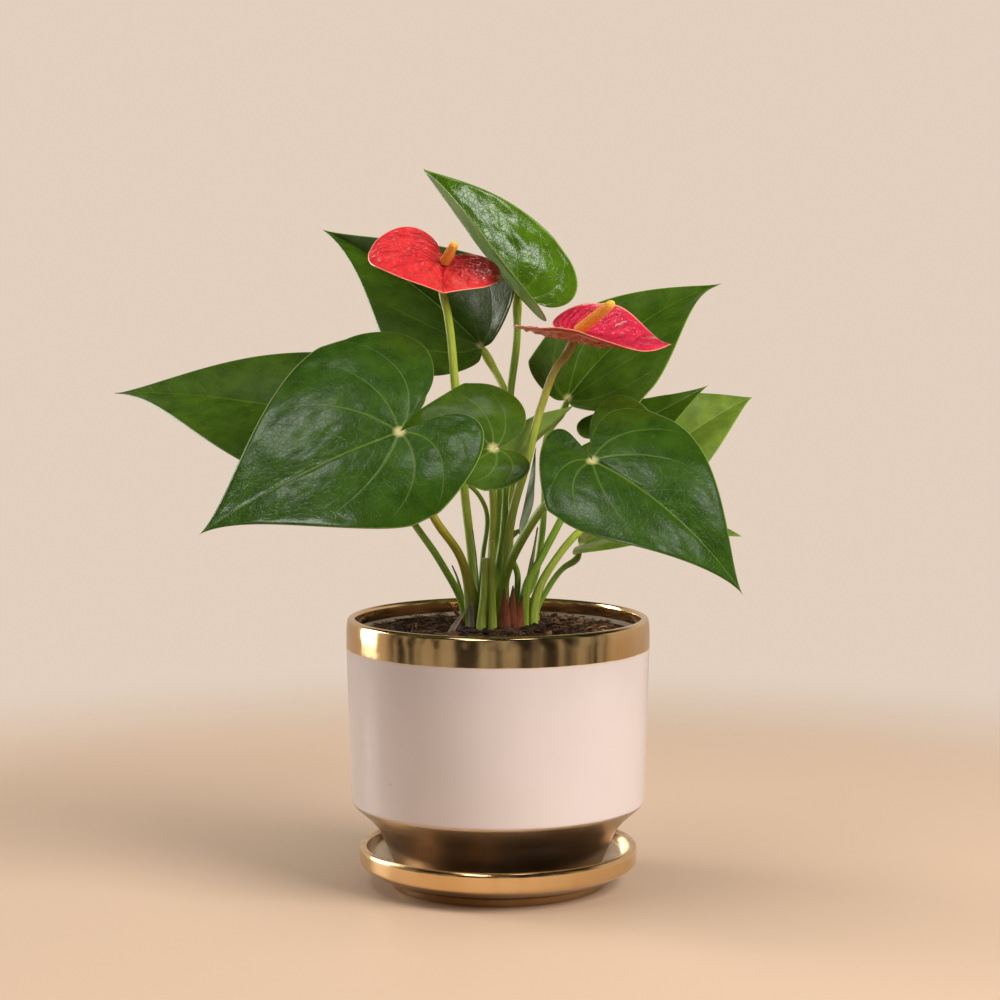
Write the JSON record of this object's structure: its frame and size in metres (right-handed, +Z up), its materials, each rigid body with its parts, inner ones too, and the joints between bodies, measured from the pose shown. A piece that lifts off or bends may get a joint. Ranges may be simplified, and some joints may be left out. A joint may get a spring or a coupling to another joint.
{
  "type": "potted anthurium",
  "caption": "Small anthurium with heart-shaped leaves and red flowers, growing in a glazed footed pot that stands on a round saucer.",
  "frame": {"origin": "centre of the saucer's flat underside, on the pot's axis", "axes": "+Z up along the pot's axis, -Y towards the viewer who sees the large leaf on the left (-X) and the flowers' faces"},
  "size_m": [0.2791, 0.1717, 0.3009],
  "materials": {
    "white_glaze": "glossy white glaze with a warm cast, metallic gold at the rim and dark bronze at the foot",
    "gold_glaze": "mirror-like gold lustre glaze",
    "soil": "loose dark-brown coir and bark chips",
    "crown": "rough, woody",
    "dark_leaf": "waxy semi-gloss dark green",
    "bright_leaf": "waxy gloss mid green",
    "pale_leaf": "waxy semi-gloss light green",
    "stem": "smooth yellow-green",
    "red_stem": "smooth red-brown over green",
    "spathe": "lacquer-like glossy red, puckered",
    "spadix": "finely beaded orange-yellow, matte",
    "papery": "dry red-brown",
    "dry": "dry grey-brown"
  },
  "bodies": {
    "root": {"leaf_1": "dark_leaf", "leaf_2": "dark_leaf", "leaf_3": "bright_leaf", "leaf_4": "bright_leaf", "leaf_5": "bright_leaf", "leaf_6": "dark_leaf", "leaf_7": "pale_leaf", "leaf_8": "dark_leaf", "leaf_9": "bright_leaf", "leaf_10": "pale_leaf", "leaf_11": "dark_leaf", "leaf_12": "dark_leaf", "petiole_1": "red_stem", "petiole_2": "stem", "petiole_3": "stem", "petiole_4": "stem", "petiole_5": "stem", "petiole_6": "stem", "petiole_7": "stem", "petiole_8": "stem", "petiole_9": "stem", "petiole_10": "stem", "petiole_11": "stem", "petiole_12": "stem", "cut_stub_1": "stem", "cut_stub_2": "stem", "arching_stem": "stem", "flower_1_spathe": "spathe", "flower_1_spadix": "spadix", "flower_1_stalk": "stem", "flower_2_spathe": "spathe", "flower_2_spadix": "spadix", "flower_2_stalk": "stem", "cataphyll_1": "papery", "cataphyll_2": "papery", "cataphyll_3": "papery", "dry_sheath": "dry", "red_scale": "papery", "dark_scale": "dry", "sheath_left": "stem", "sheath_green": "stem", "sheath_pale": "stem", "sheath_slender": "stem", "pot": "white_glaze", "saucer": "gold_glaze", "soil": "soil", "crown": "crown"}
  },
  "joints": []
}
